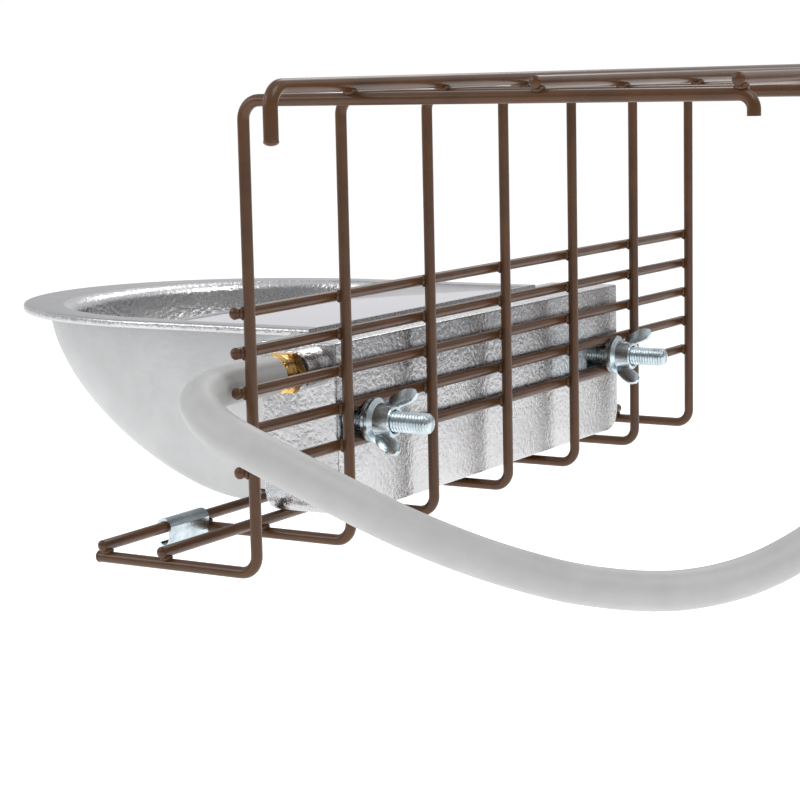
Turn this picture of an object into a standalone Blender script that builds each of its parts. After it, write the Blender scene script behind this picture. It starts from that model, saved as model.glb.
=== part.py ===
"""Cast float-valve drinking bowl on its hanging wire rack, with the hose that feeds it.

Frame: metres, +Z up, the bowl faces -Y and the rack runs along X. The origin lies midway
between the two hooks, on the underside of the hook wire, where the rack hangs.
"""

import math

import bmesh
import bpy
from mathutils import Matrix, Vector

MM = 0.001

# ---- driving dimensions, in metres --------------------------------------------------------
gap = 0.3 * MM  # between pieces that touch
run_gap = 0.35 * MM  # round pieces that turn or slide in others

# rack
wire_d = 4.2 * MM
hook_wire_d = 4.9 * MM
column_pitch = 60.8 * MM
column_count = 7
rail_pitch = 13.8 * MM
rail_count = 5
lowest_rail = 35.6 * MM  # height of the lowest rail over the foot wires
rack_drop = 162.7 * MM  # shelf wires down to foot wires, centre to centre
rack_y = -43.0 * MM  # the upright wires' plane
foot_reach = 69.0 * MM
foot_rail_places = (65.7 * MM, 39.2 * MM)  # in front of the upright wires
shelf_reach = 185.5 * MM
shelf_rail_places = (112.0 * MM, 179.5 * MM)  # behind the upright wires
shelf_lip = 6.5 * MM  # how far the shelf wires' ends turn down
rail_overhang = 2.4 * MM  # rails beyond the outer upright wires
hook_reach = 46.6 * MM  # hook leg beyond the outer upright wires
hook_drop = 17.0 * MM
bend_r = 6.5 * MM
lip_bend_r = 4.6 * MM

# clip that ties the front foot rail to the cage
clip_sheet = 1.0 * MM
clip_length = 24.0 * MM
clip_x = 136.5 * MM
cage_wire_d = 3.2 * MM  # the cage wire that the clip is made for

# trough
ear_length = 236.6 * MM
ear_depth = 33.7 * MM
ear_drop = 1.4 * MM  # the ears' top below the rim
trough_height = 67.2 * MM  # at the back
trough_depth = 224.1 * MM
belly = 6.0 * MM  # how far the bowl hangs below the back
rim_half = 93.2 * MM
rim_sheet = 3.3 * MM
rim_centre = 112.1 * MM  # from the back face to where the rim begins to curve
rim_start = 28.5 * MM  # from the back face
side_overhang = 4.5 * MM
front_overhang = 16.2 * MM
side_lip = 13.0 * MM  # the rim's flat, at the sides and in front
front_lip = 28.0 * MM
floor_wall = 5.0 * MM
wall_curve = (1.69, 1.5)  # powers that round the wall from rim to floor
back_wall = 3.5 * MM
corner_r = 9.0 * MM
bottom_centre = 69.8 * MM  # from the back face
bottom_reach = 42.5 * MM
bottom_half = 74.2 * MM
floor_reach = 20.0 * MM  # the bowl's flat floor, in front of the partition
floor_half = 62.0 * MM
foot_space = 1.5 * MM  # between the belly and the foot wires' ends

# float chamber between the bowl and the back
cover_half = 85.0 * MM
cover_sheet = 1.5 * MM
cover_sunk = 0.3 * MM
cover_back = 30.0 * MM  # from the back face
cover_depth = 65.0 * MM
ledge = 5.0 * MM
chamber_half = 72.0 * MM
roof = 4.5 * MM  # over the valve, behind the cover
partition_wall = 4.0 * MM
passage_height = 14.0 * MM
tab_drop = 3.5 * MM
tab_width = 20.0 * MM

# studs that hold the trough to the rack
stud_d = 8.0 * MM
stud_x = 102.8 * MM
stud_out = 24.0 * MM  # beyond the washer's back
stud_hole_depth = 12.0 * MM
pocket_length = 32.0 * MM
pocket_height = 9.6 * MM
pocket_depth = 12.0 * MM
washer_d = 16.0 * MM
washer_t = 1.6 * MM
wing_tilt = -35  # degrees from upright

# inlet valve
valve_y = 8.7 * MM  # from the trough's back face
valve_z = 9.9 * MM  # below the trough's rim
valve_r = 3.6 * MM
valve_bore_r = 2.5 * MM
orifice_r = 1.4 * MM
boss_r = 7.5 * MM
boss_out = 15.7 * MM
gasket_r = 6.6 * MM
gasket_t = 2.2 * MM
hex_across = 14.4 * MM
hex_t = 3.8 * MM
tail_length = 6.4 * MM
tail_r = 6.1 * MM
plunger_r = 2.15 * MM
plunger_travel_room = 24.0 * MM  # from the valve's mouth to its seat
plunger_out = 5.0 * MM  # how far it stands out of the valve
seal_t = 2.0 * MM
fork_gap = 4.8 * MM
fork_wall = 1.8 * MM
fork_reach = 12.0 * MM  # from the fork's end to its mouth
pivot_drop = 13.1 * MM  # below the valve's axis
pivot_r = 1.5 * MM
lever_t = 4.0 * MM
lever_bar = 3.0 * MM
float_size = Vector((60.0, 52.0, 21.0)) * MM
float_x = -15.0 * MM
float_screw_d = 3.0 * MM

# hose
hose_d = 14.0 * MM
coupling_r = 9.5 * MM
hose_clip_width = 9.0 * MM

# ---- places that follow from them ---------------------------------------------------------
rail_y = rack_y - wire_d - gap
back_y = rail_y - wire_d / 2 - gap
shelf_z = -gap - wire_d / 2
foot_z = shelf_z - rack_drop
foot_rail_z = foot_z + wire_d + gap
bottom_z = foot_rail_z + wire_d / 2 + gap
rim_z = bottom_z + trough_height
outer_x = column_pitch * (column_count - 1) / 2
rail_half = outer_x + rail_overhang
rail_zs = [foot_z + lowest_rail + i * rail_pitch for i in range(rail_count)]
stud_z = (rail_zs[0] + rail_zs[1]) / 2
ear_half = ear_length / 2
ear_z = rim_z - ear_drop
rim_y = back_y - rim_centre
rim_reach = trough_depth - rim_centre
bowl_bottom_z = bottom_z - belly
belly_y = rack_y - foot_reach - foot_space
cover_z = rim_z - cover_sunk
ledge_z = cover_z - cover_sheet - gap
cover_back_y = back_y - cover_back
cover_front_y = cover_back_y - cover_depth
partition_front = cover_front_y - gap - partition_wall
inlet = Vector((0, back_y - valve_y, rim_z - valve_z))
fork_end = chamber_half - MM
valve_end = fork_end - 2 * MM
plunger_seat = valve_end + plunger_travel_room
pivot = Vector((valve_end - plunger_out - 2.3 * MM, inlet.y, inlet.z - pivot_drop))
float_top = pivot.z - lever_bar / 2 - gap
gasket_x = ear_half + boss_out + gap
hex_x = gasket_x + gasket_t + gap
tail_x = hex_x + hex_t + gap
hose_x = tail_x + tail_length + gap
washer_y = rail_y + wire_d / 2 + gap

# hose centre line, straight out of the inlet, round in front of the rack, below it and up to the shelf
hose_straight = (158.0 * MM, 178.0 * MM)
hose_route = [Vector((x, inlet.y, inlet.z)) for x in hose_straight] + [
    Vector(point) * MM
    for point in (
        (195, -55, -102.5), (206, -46, -106), (211, -34, -111),
        (210, -18, -118), (201, 0, -129), (183, 20, -144), (160, 41, -158), (137, 63, -168), (112, 87, -172),
        (88, 109, -166), (65, 130, -148), (48, 145, -119), (40, 151, -91), (38, 152, -70),
    )
]
hose_end = Vector((38, 152, -50)) * MM


# ---- materials ----------------------------------------------------------------------------
def material(name, colour, roughness, metallic):
    made = bpy.data.materials.new(name)
    made.use_nodes = True
    shader = made.node_tree.nodes["Principled BSDF"]
    shader.inputs["Base Color"].default_value = (*colour, 1)
    shader.inputs["Roughness"].default_value = roughness
    shader.inputs["Metallic"].default_value = metallic
    made.diffuse_color = (*colour, 1)
    return made


# ---- scene --------------------------------------------------------------------------------
for old in list(bpy.data.objects):
    bpy.data.objects.remove(old)
parts = bpy.data.collections.new("float_bowl_on_rack")
tools = bpy.data.collections.new("boolean_tools")
for collection in (parts, tools):
    bpy.context.scene.collection.children.link(collection)

coated_wire = material("coated_wire", (0.14, 0.075, 0.035), 0.3, 0.0)
cast_metal = material("cast_metal", (0.78, 0.78, 0.79), 0.35, 1.0)
sheet_metal = material("sheet_metal", (0.85, 0.85, 0.88), 0.15, 1.0)
zinc = material("zinc", (0.62, 0.68, 0.7), 0.3, 1.0)
brass = material("brass", (0.8, 0.55, 0.2), 0.2, 1.0)
rubber = material("rubber", (0.05, 0.05, 0.05), 0.7, 0.0)
plastic = material("float_plastic", (0.85, 0.85, 0.8), 0.5, 0.0)
hose_plastic = material("hose_plastic", (0.66, 0.67, 0.67), 0.45, 0.0)


# ---- shape helpers ------------------------------------------------------------------------
def place(name, mesh, finish):
    made = bpy.data.objects.new(name, mesh)
    parts.objects.link(made)
    made.data.materials.append(finish)
    return made


def combine(piece, operation, others):
    """Adds or cuts the other shapes, which move to the tools' collection and out of the renders."""
    for other in others:
        modifier = piece.modifiers.new(other.name, "BOOLEAN")
        modifier.operation = operation
        modifier.object = other
        parts.objects.unlink(other)
        tools.objects.link(other)
        other.hide_render = True
        other.display_type = "WIRE"


def round_edges(piece, width, segments=2, angle=40):
    modifier = piece.modifiers.new("edges", "BEVEL")
    modifier.width = width
    modifier.segments = segments
    modifier.limit_method = "ANGLE"
    modifier.angle_limit = math.radians(angle)


def box(name, low, high, finish):
    mesh = bpy.data.meshes.new(name)
    form = bmesh.new()
    bmesh.ops.create_cube(form, size=1)
    low, high = Vector(low), Vector(high)
    bmesh.ops.scale(form, vec=high - low, verts=form.verts)
    bmesh.ops.translate(form, vec=(low + high) / 2, verts=form.verts)
    form.to_mesh(mesh)
    form.free()
    return place(name, mesh, finish)


def rod(name, start, end, radius, finish, sides=24, end_radius=None):
    """A round bar from start to end, or a cone where end_radius differs; sides=6 makes a hexagon."""
    mesh = bpy.data.meshes.new(name)
    form = bmesh.new()
    start, end = Vector(start), Vector(end)
    span = end - start
    turn = Vector((0, 0, 1)).rotation_difference(span).to_matrix().to_4x4()
    last = radius if end_radius is None else end_radius
    bmesh.ops.create_cone(
        form, cap_ends=True, segments=sides, radius1=radius, radius2=last, depth=span.length,
        matrix=Matrix.Translation((start + end) / 2) @ turn,
    )
    form.to_mesh(mesh)
    form.free()
    return place(name, mesh, finish)


def turned(name, profile, centre, axis, finish, steps=24):
    """Turns a closed outline of (radius, height) points about an axis through the centre."""
    mesh = bpy.data.meshes.new(name)
    count = len(profile)
    edges = [(i, (i + 1) % count) for i in range(count)]
    mesh.from_pydata([(r, 0, h) for r, h in profile], edges, [])
    made = place(name, mesh, finish)
    screw = made.modifiers.new("turn", "SCREW")
    screw.steps = screw.render_steps = steps
    screw.use_merge_vertices = True
    screw.merge_threshold = 1e-6
    made.rotation_mode = "QUATERNION"
    made.rotation_quaternion = Vector((0, 0, 1)).rotation_difference(Vector(axis))
    made.location = centre
    return made


def ring(name, inner, outer, thickness, centre, axis, finish, steps=24):
    profile = [(outer, thickness), (outer, 0), (inner, 0), (inner, thickness)]
    return turned(name, profile, centre, axis, finish, steps)


def slab(name, outline, thickness, plane, finish):
    """A flat outline of (u, v) points with a thickness; plane turns it from XY to where it lies."""
    curve = bpy.data.curves.new(name, "CURVE")
    curve.dimensions = "2D"
    curve.fill_mode = "BOTH"
    curve.extrude = thickness / 2
    spline = curve.splines.new("POLY")
    spline.points.add(len(outline) - 1)
    for point, (u, v) in zip(spline.points, outline):
        point.co = (u, v, 0, 1)
    spline.use_cyclic_u = True
    flat = bpy.data.objects.new(name + "_outline", curve)
    parts.objects.link(flat)
    flat.matrix_world = plane
    return solid_of_curve(flat, name, finish)


def solid_of_curve(curve_object, name, finish):
    """Makes a curve a mesh with its caps welded, so that it can be cut."""
    bpy.context.view_layer.update()
    graph = bpy.context.evaluated_depsgraph_get()
    mesh = bpy.data.meshes.new_from_object(curve_object.evaluated_get(graph))
    mesh.transform(curve_object.matrix_world)
    mesh.materials.clear()
    form = bmesh.new()
    form.from_mesh(mesh)
    bmesh.ops.remove_doubles(form, verts=form.verts, dist=1e-6)
    bmesh.ops.recalc_face_normals(form, faces=form.faces)
    form.to_mesh(mesh)
    form.free()
    mesh.name = name
    bpy.data.objects.remove(curve_object)
    return place(name, mesh, finish)


def rounded(points, radius, steps=5):
    """The points with each inner corner replaced by an arc."""
    path = [Vector(points[0])]
    for before, corner, after in zip(points, points[1:], points[2:]):
        before, corner, after = Vector(before), Vector(corner), Vector(after)
        back, ahead = (before - corner).normalized(), (after - corner).normalized()
        half = back.angle(ahead) / 2
        centre = corner + (back + ahead).normalized() * radius / math.sin(half)
        first = (corner + back * radius / math.tan(half) - centre).normalized()
        last = (corner + ahead * radius / math.tan(half) - centre).normalized()
        for i in range(steps + 1):
            path.append(centre + first.slerp(last, i / steps) * radius)
    path.append(Vector(points[-1]))
    return path


def wire(name, path, diameter, finish, resolution=2):
    curve = bpy.data.curves.new(name, "CURVE")
    curve.dimensions = "3D"
    curve.bevel_depth = diameter / 2
    curve.bevel_resolution = resolution
    curve.use_fill_caps = True
    spline = curve.splines.new("POLY")
    spline.points.add(len(path) - 1)
    for point, place_on_path in zip(spline.points, path):
        point.co = (*place_on_path, 1)
    made = bpy.data.objects.new(name, curve)
    parts.objects.link(made)
    made.data.materials.append(finish)
    return made


def smooth_path(points, spacing):
    """Points at an even spacing on a smooth curve through the route's own points."""
    ends = [2 * points[0] - points[1], *points, 2 * points[-1] - points[-2]]
    fine = []
    for a, b, c, d in zip(ends, ends[1:], ends[2:], ends[3:]):
        for i in range(20):
            t = i / 20
            bend = (3 * b - a - 3 * c + d) * t**3 + (2 * a - 5 * b + 4 * c - d) * t**2
            fine.append(b + (bend + (c - a) * t) / 2)
    fine.append(points[-1])
    total = sum((q - p).length for p, q in zip(fine, fine[1:]))
    count = round(total / spacing)
    path, walked, target = [fine[0]], 0.0, total / count
    for p, q in zip(fine, fine[1:]):
        step = (q - p).length
        while walked + step >= target and len(path) < count:
            path.append(p.lerp(q, (target - walked) / step))
            target += total / count
        walked += step
    path.append(fine[-1])
    return path


def oval(centre_y, reach, half_width, steps=24):
    """Half an ellipse in front of centre_y, as (x, y) points."""
    angles = [math.pi * i / steps for i in range(steps + 1)]
    return [(half_width * math.cos(angle), centre_y - reach * math.sin(angle)) for angle in angles]


def bowl_form(name, top, bottom, curve, back, finish, steps=8):
    """A bowl lofted between two outlines, each (height, ellipse centre, reach, half width)."""
    mesh = bpy.data.meshes.new(name)
    form = bmesh.new()
    rings = []
    for i in range(steps + 1):
        depth = math.sin(math.pi / 2 * i / steps)
        share = (1 - depth ** curve[0]) ** (1 / curve[1])
        centre, reach, half = (low + (high - low) * share for low, high in zip(bottom[1:], top[1:]))
        outline = [(half, back), *oval(centre, reach, half), (-half, back)]
        rings.append(even_outline(outline, 30, top[0] + (bottom[0] - top[0]) * depth, form))
    for upper, lower in zip(rings, rings[1:]):
        for a in range(len(upper)):
            b = (a + 1) % len(upper)
            form.faces.new((upper[a], upper[b], lower[b], lower[a]))
    form.faces.new(rings[0])
    form.faces.new(rings[-1])
    bmesh.ops.recalc_face_normals(form, faces=form.faces)
    form.to_mesh(mesh)
    form.free()
    return place(name, mesh, finish)


def even_outline(outline, count, z, form):
    """Vertices spaced evenly along an open outline, first and last point kept."""
    lengths = [math.dist(p, q) for p, q in zip(outline, outline[1:])]
    total = sum(lengths)
    made = []
    for i in range(count):
        left = total * i / (count - 1)
        k = 0
        while k < len(lengths) - 1 and left > lengths[k]:
            left -= lengths[k]
            k += 1
        share = min(1, left / lengths[k])
        (x0, y0), (x1, y1) = outline[k], outline[k + 1]
        made.append(form.verts.new((x0 + (x1 - x0) * share, y0 + (y1 - y0) * share, z)))
    return made


# ---- rack ---------------------------------------------------------------------------------
def build_rack():
    shelf_end = rack_y + shelf_reach
    for i in range(column_count):
        x = outer_x - i * column_pitch
        bends = rounded(
            [
                (x, rack_y - foot_reach, foot_z),
                (x, rack_y, foot_z),
                (x, rack_y, shelf_z),
                (x, shelf_end - wire_d / 2, shelf_z),
            ],
            bend_r,
        )
        lip = rounded(
            [bends[-2], (x, shelf_end - wire_d / 2, shelf_z), (x, shelf_end - wire_d / 2, shelf_z - shelf_lip)],
            lip_bend_r,
            steps=4,
        )
        wire(f"upright_wire_{i + 1}", bends[:-1] + lip[1:], wire_d, coated_wire)
    for i, z in enumerate(rail_zs):
        wire(f"back_rail_{i + 1}", [(-rail_half, rail_y, z), (rail_half, rail_y, z)], wire_d, coated_wire)
    for i, reach in enumerate(foot_rail_places):
        ends = [(-rail_half, rack_y - reach, foot_rail_z), (rail_half, rack_y - reach, foot_rail_z)]
        wire(f"foot_rail_{i + 1}", ends, wire_d, coated_wire)
    for i, reach in enumerate(shelf_rail_places):
        ends = [(-rail_half, rack_y + reach, wire_d / 2), (rail_half, rack_y + reach, wire_d / 2)]
        wire(f"shelf_rail_{i + 1}", ends, wire_d, coated_wire)
    hook_x, hook_z = outer_x + hook_reach, hook_wire_d / 2
    hooks = rounded(
        [(-hook_x, 0, hook_z - hook_drop), (-hook_x, 0, hook_z), (hook_x, 0, hook_z), (hook_x, 0, hook_z - hook_drop)],
        bend_r,
    )
    wire("hook_rail", hooks, hook_wire_d, coated_wire, resolution=3)


def build_cage_clip():
    """A strip of sheet bent round the front foot rail and the cage wire below it."""
    centre_y, top_z = rack_y - foot_rail_places[0], foot_rail_z
    inner = wire_d / 2 + gap
    low = top_z - wire_d / 2 - gap - cage_wire_d
    middle = inner + clip_sheet / 2
    path = []
    for i in range(9):
        angle = math.radians(-20 + 200 * (1 - i / 8))
        path.append((centre_y + middle * math.cos(angle), top_z + middle * math.sin(angle)))
    foot = low + middle * 0.4
    for i in range(7):
        angle = math.radians(0 - 150 * i / 6)
        path.append((centre_y + middle * math.cos(angle) * 0.85, foot + middle * math.sin(angle)))
    outer, inner_side = offset_outline(path, clip_sheet / 2)
    outline = outer + inner_side[::-1]
    # the outline's u axis lies along Y, its v axis along Z, so its thickness runs along X
    turn = Matrix(((0, 0, 1, clip_x), (1, 0, 0, 0), (0, 1, 0, 0), (0, 0, 0, 1)))
    slab("cage_clip", outline, clip_length, turn, zinc)


def offset_outline(path, half):
    outer, inner = [], []
    for i, (u, v) in enumerate(path):
        before, after = path[max(i - 1, 0)], path[min(i + 1, len(path) - 1)]
        along = Vector((after[0] - before[0], after[1] - before[1])).normalized()
        outer.append((u - along.y * half, v + along.x * half))
        inner.append((u + along.y * half, v - along.x * half))
    return outer, inner


# ---- trough -------------------------------------------------------------------------------
def build_trough():
    """A cast bowl with a float chamber behind it and an ear at each end for the studs."""
    body = box("trough_body", (-ear_half, back_y - ear_depth, bottom_z), (ear_half, back_y, ear_z), cast_metal)
    round_lower_corners(body)
    outer = bowl_form(
        "bowl_outside",
        (rim_z - rim_sheet / 2, rim_y, rim_reach - front_overhang, rim_half - side_overhang),
        (bowl_bottom_z, back_y - bottom_centre, bottom_reach, bottom_half),
        wall_curve, back_y - back_wall, cast_metal,
    )
    foot_room = box("foot_room", (-rim_half, belly_y, bowl_bottom_z - MM), (rim_half, back_y, bottom_z), cast_metal)
    combine(outer, "DIFFERENCE", [foot_room])
    start_y = back_y - rim_start
    rim_outline = [(rim_half, start_y), *oval(rim_y, rim_reach, rim_half, 32), (-rim_half, start_y)]
    middle = Matrix.Translation((0, 0, rim_z - rim_sheet / 2))
    rim = slab("rim_plate", rim_outline, rim_sheet, middle, cast_metal)
    boss = rod("inlet_boss", (ear_half - MM, inlet.y, inlet.z), (ear_half + boss_out, inlet.y, inlet.z), boss_r,
               cast_metal)
    combine(body, "UNION", [outer, rim, boss])
    combine(body, "DIFFERENCE", [build_bowl_hollow(), *chamber_cuts(), *stud_cuts()])


def build_bowl_hollow():
    return bowl_form(
        "bowl_hollow",
        (rim_z + MM, rim_y, rim_reach - front_lip, rim_half - side_lip),
        (bowl_bottom_z + floor_wall, partition_front - MM, floor_reach, floor_half),
        wall_curve, partition_front, cast_metal,
    )


def chamber_cuts():
    floor_z = bottom_z + floor_wall
    side, front = cover_half + gap, cover_front_y - gap
    return [
        box("cover_recess", (-side, front, ledge_z), (side, cover_back_y + gap, rim_z + MM), cast_metal),
        box("chamber_mouth", (-side + ledge, front + ledge, inlet.z), (side - ledge, cover_back_y - ledge, rim_z),
            cast_metal),
        box("float_chamber", (-chamber_half, front + ledge, floor_z), (chamber_half, back_y - back_wall, ear_z - roof),
            cast_metal),
        box("passage", (-chamber_half / 2, partition_front - MM, floor_z),
            (chamber_half / 2, front + ledge + MM, floor_z + passage_height), cast_metal),
        rod("inlet_bore", (chamber_half - MM, inlet.y, inlet.z), (ear_half + boss_out + MM, inlet.y, inlet.z),
            valve_r + gap, cast_metal),
    ]


def stud_cuts():
    cuts = []
    for side, label in ((1, "near"), (-1, "far")):
        x, pocket_y = side * stud_x, back_y - pocket_depth
        outer_end = min(stud_x + pocket_length / 2, ear_half - 2 * MM)
        low_x, high_x = sorted((side * (stud_x - pocket_length / 2), side * outer_end))
        cuts.append(box(f"stud_pocket_{label}", (low_x, pocket_y, stud_z - pocket_height / 2),
                        (high_x, back_y + MM, stud_z + pocket_height / 2), cast_metal))
        cuts.append(rod(f"stud_hole_{label}", (x, pocket_y - stud_hole_depth, stud_z), (x, pocket_y + MM, stud_z),
                        stud_d / 2 + gap, cast_metal))
    return cuts


def round_lower_corners(body):
    """Rounds the casting's two lower end corners and its lower edges before anything is cut."""
    form = bmesh.new()
    form.from_mesh(body.data)
    corners = [
        edge for edge in form.edges
        if all(v.co.z < bottom_z + MM for v in edge.verts)
        and abs(edge.verts[0].co.x - edge.verts[1].co.x) < MM
    ]
    bmesh.ops.bevel(form, geom=corners, offset=corner_r, segments=4, profile=0.5, affect="EDGES", material=-1)
    form.to_mesh(body.data)
    form.free()


def build_cover():
    """A loose sheet that lies in its recess, with a tab at each end that keeps it from sliding."""
    cover = box("chamber_cover", (-cover_half, cover_front_y, cover_z - cover_sheet),
                (cover_half, cover_back_y, cover_z), sheet_metal)
    middle_y, tab_x = (cover_front_y + cover_back_y) / 2, cover_half - ledge - cover_sheet
    tabs = []
    for side, label in ((1, "near"), (-1, "far")):
        low_x, high_x = sorted((side * (tab_x - cover_sheet), side * tab_x))
        tabs.append(box(f"cover_tab_{label}", (low_x, middle_y - tab_width / 2, cover_z - cover_sheet - tab_drop),
                        (high_x, middle_y + tab_width / 2, cover_z - cover_sheet / 2), sheet_metal))
    combine(cover, "UNION", tabs)


# ---- fixing to the rack -------------------------------------------------------------------
def build_fixings():
    for side, label in ((1, "near"), (-1, "far")):
        x = side * stud_x
        start = back_y - pocket_depth - stud_hole_depth + gap
        tip = washer_y + washer_t + gap + stud_out
        stud = rod(f"stud_{label}", (x, start, stud_z), (x, tip, stud_z), stud_d / 2, zinc)
        round_edges(stud, 0.6 * MM, 1)
        ring(f"washer_{label}", stud_d / 2 + gap, washer_d / 2, washer_t, (x, washer_y, stud_z), (0, 1, 0), zinc)
        build_wing_nut(f"wing_nut_{label}", x, washer_y + washer_t + gap)


def build_wing_nut(name, x, y):
    """A stamped wing nut: a flange, a hub and two wings that stand away from the flange."""
    bore = stud_d / 2 + run_gap
    hub = [
        (bore, 0), (bore, 9 * MM), (5.9 * MM, 9 * MM), (6.6 * MM, 2.4 * MM), (8.6 * MM, 1.5 * MM), (8.6 * MM, 0),
    ]
    nut = turned(name, hub[::-1], (x, y, stud_z), (0, 1, 0), zinc)
    wings = []
    for side in (1, -1):
        outline = [
            (5.4 * MM, 1.6 * MM), (9.5 * MM, 3.5 * MM), (13.8 * MM, 9.5 * MM), (13.8 * MM, 13.4 * MM),
            (11.6 * MM, 14.6 * MM), (8.4 * MM, 13.2 * MM), (6.4 * MM, 8.6 * MM), (5.4 * MM, 8.2 * MM),
        ]
        tilt = Matrix.Rotation(math.radians(wing_tilt), 4, "Y")
        upright = Matrix(((0, 0, 1, 0), (0, 1, 0, 0), (side, 0, 0, 0), (0, 0, 0, 1)))
        plane = Matrix.Translation((x, y, stud_z)) @ tilt @ upright
        wings.append(slab(f"{name}_wing_{'up' if side > 0 else 'down'}", outline, 2.2 * MM, plane, zinc))
    combine(nut, "UNION", wings)
    return nut


# ---- inlet valve and float ----------------------------------------------------------------
def along_x(name, x0, x1, radius, finish, sides=24, y=None, z=None):
    y, z = inlet.y if y is None else y, inlet.z if z is None else z
    return rod(name, (x0, y, z), (x1, y, z), radius, finish, sides)


def build_valve():
    """A tube with a hexagon outside and, inside the chamber, a fork that holds the lever's pin."""
    hex_r = hex_across / 2 / math.cos(math.pi / 6)
    valve = along_x("valve_body", valve_end, hex_x + MM, valve_r, brass)
    head = along_x("valve_hex", hex_x, hex_x + hex_t, hex_r, brass, 6)
    cheeks = []
    for side, label in ((1, "back"), (-1, "front")):
        low_y, high_y = sorted(inlet.y + side * reach for reach in (fork_gap / 2, fork_gap / 2 + fork_wall))
        cheeks.append(box(f"fork_{label}", (fork_end - fork_reach, low_y, pivot.z - 3.5 * MM),
                          (fork_end, high_y, inlet.z + 0.6 * valve_r), brass))
    combine(valve, "UNION", [head, *cheeks])
    combine(valve, "DIFFERENCE", [
        along_x("plunger_bore", valve_end - 2 * MM, plunger_seat + seal_t, valve_bore_r, brass),
        along_x("orifice", plunger_seat, hex_x + hex_t + MM, orifice_r, brass, 16),
        rod("pivot_hole", (pivot.x, inlet.y - 6 * MM, pivot.z), (pivot.x, inlet.y + 6 * MM, pivot.z),
            pivot_r + run_gap, brass, 16),
    ])
    ring("inlet_gasket", valve_r + gap, gasket_r, gasket_t, (gasket_x, inlet.y, inlet.z), (1, 0, 0), rubber)
    bore = orifice_r * 2
    tail = [
        (bore, 0), (tail_r + 1.2 * MM, 0), (tail_r + 1.2 * MM, 3.5 * MM), (tail_r, 4.2 * MM),
        (tail_r, tail_length - 0.6 * MM), (tail_r - 0.6 * MM, tail_length), (bore, tail_length),
    ]
    turned("hose_tail", tail[::-1], (tail_x, inlet.y, inlet.z), (1, 0, 0), brass)
    plunger_end = valve_end - plunger_out
    along_x("valve_plunger", plunger_end, plunger_seat - 1.2 * MM - gap, plunger_r, brass, 20)
    along_x("plunger_seal", plunger_seat - 1.2 * MM, plunger_seat - 1.2 * MM + seal_t, plunger_r, rubber, 20)
    pin = rod("pivot_pin", (pivot.x, inlet.y - 4.7 * MM, pivot.z), (pivot.x, inlet.y + 4.7 * MM, pivot.z), pivot_r,
              zinc, 16)
    round_edges(pin, 0.3 * MM, 1)
    build_lever(plunger_end)


def build_lever(plunger_end):
    arm_face = plunger_end - gap
    arm_back = arm_face - 4.4 * MM
    bar_top, bar_low = pivot.z + lever_bar / 2, pivot.z - lever_bar / 2
    float_end = float_x - float_size.x / 2 + 8 * MM
    outline = [
        (arm_face, inlet.z + 1.9 * MM), (arm_back, inlet.z + 1.9 * MM), (arm_back, bar_top),
        (float_end, bar_top), (float_end, bar_low), (pivot.x - 3 * MM, bar_low),
        (pivot.x - 2.4 * MM, pivot.z - 3.1 * MM), (pivot.x + 2.4 * MM, pivot.z - 3.1 * MM),
        (pivot.x + 3.4 * MM, pivot.z - 1 * MM), (pivot.x + 3.4 * MM, pivot.z + 2.5 * MM),
        (arm_face, pivot.z + 5 * MM),
    ]
    plane = Matrix(((1, 0, 0, 0), (0, 0, -1, inlet.y), (0, 1, 0, 0), (0, 0, 0, 1)))
    lever = slab("float_lever", outline, lever_t, plane, brass)
    top = (float_x, inlet.y, bar_top + MM)
    combine(lever, "DIFFERENCE", [
        rod("lever_pivot_hole", (pivot.x, inlet.y - 4 * MM, pivot.z), (pivot.x, inlet.y + 4 * MM, pivot.z),
            pivot_r + run_gap, brass, 16),
        rod("lever_screw_hole", (float_x, inlet.y, bar_low - MM), top, float_screw_d / 2 + gap, brass, 16),
    ])
    front_y = inlet.y + 4.5 * MM - float_size.y
    body = box("float", (float_x - float_size.x / 2, front_y, float_top - float_size.z),
               (float_x + float_size.x / 2, inlet.y + 4.5 * MM, float_top), plastic)
    round_edges(body, 3 * MM, 3)
    combine(body, "DIFFERENCE", [
        rod("float_hole", (float_x, inlet.y, float_top - 12 * MM), (float_x, inlet.y, float_top + MM),
            float_screw_d / 2 + gap, plastic, 16),
    ])
    screw = rod("float_screw", (float_x, inlet.y, bar_top + gap), (float_x, inlet.y, bar_top + gap + 1.8 * MM),
                2.8 * MM, zinc, 16)
    combine(screw, "UNION", [
        rod("float_screw_shank", (float_x, inlet.y, float_top - 11 * MM), (float_x, inlet.y, bar_top + MM),
            float_screw_d / 2, zinc, 16),
    ])


# ---- hose ---------------------------------------------------------------------------------
def build_hose():
    start = Vector((hose_x, inlet.y, inlet.z))
    wire("water_hose", smooth_path([start, *hose_route, hose_end], 1.1 * hose_d), hose_d, hose_plastic, resolution=3)
    neck_r, neck = hose_d / 2 + 0.6 * MM, 5 * MM
    profile = [
        (3 * MM, 0), (neck_r, 0), (neck_r, neck), (coupling_r, neck), (coupling_r, neck + 2 * MM),
        (coupling_r - 3 * MM, neck + 2 * MM), (coupling_r - 3 * MM, neck + 14 * MM), (3 * MM, neck + 14 * MM),
    ]
    base = hose_end + Vector((0, 0, gap))
    turned("hose_coupling", profile[::-1], base, (0, 0, 1), brass)
    nut_z = base.z + neck + 2 * MM + gap
    nut = rod("coupling_nut", (base.x, base.y, nut_z), (base.x, base.y, nut_z + 6 * MM),
              coupling_r / math.cos(math.pi / 6), brass, 6)
    combine(nut, "DIFFERENCE", [
        rod("nut_bore", (base.x, base.y, nut_z - MM), (base.x, base.y, nut_z + 7 * MM), coupling_r - 3 * MM + gap,
            brass),
    ])
    build_hose_clip(base, neck_r)


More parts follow.
